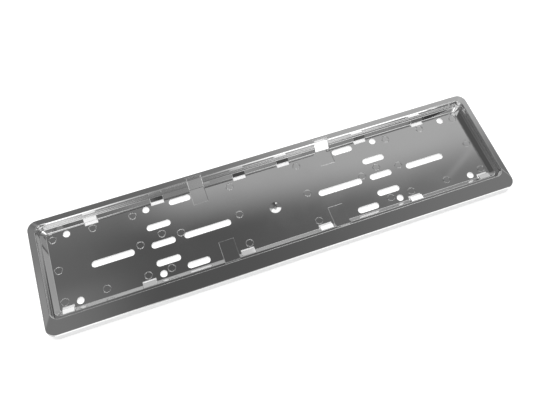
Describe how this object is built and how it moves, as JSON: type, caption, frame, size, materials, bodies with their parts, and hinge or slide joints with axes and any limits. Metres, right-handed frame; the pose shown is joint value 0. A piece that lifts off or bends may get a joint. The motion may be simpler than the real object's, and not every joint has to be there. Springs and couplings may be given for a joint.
{
  "type": "number plate holder",
  "caption": "Long moulded number plate holder: a chrome-plated tray with a raised rim, a ledge for the plate, snap hooks, and slots and round holes for its fixing screws.",
  "frame": {"origin": "middle of the row of long slots, on the back face that lies against the car", "axes": "+X along the plate to the right as seen from the front, +Y up the plate, +Z out of the car towards the viewer"},
  "size_m": [0.5396, 0.1368, 0.0167],
  "materials": {
    "chrome_plating": "bright chrome plating on a moulded plastic body"
  },
  "bodies": {
    "root": {"plate_holder": "chrome_plating"}
  },
  "joints": []
}
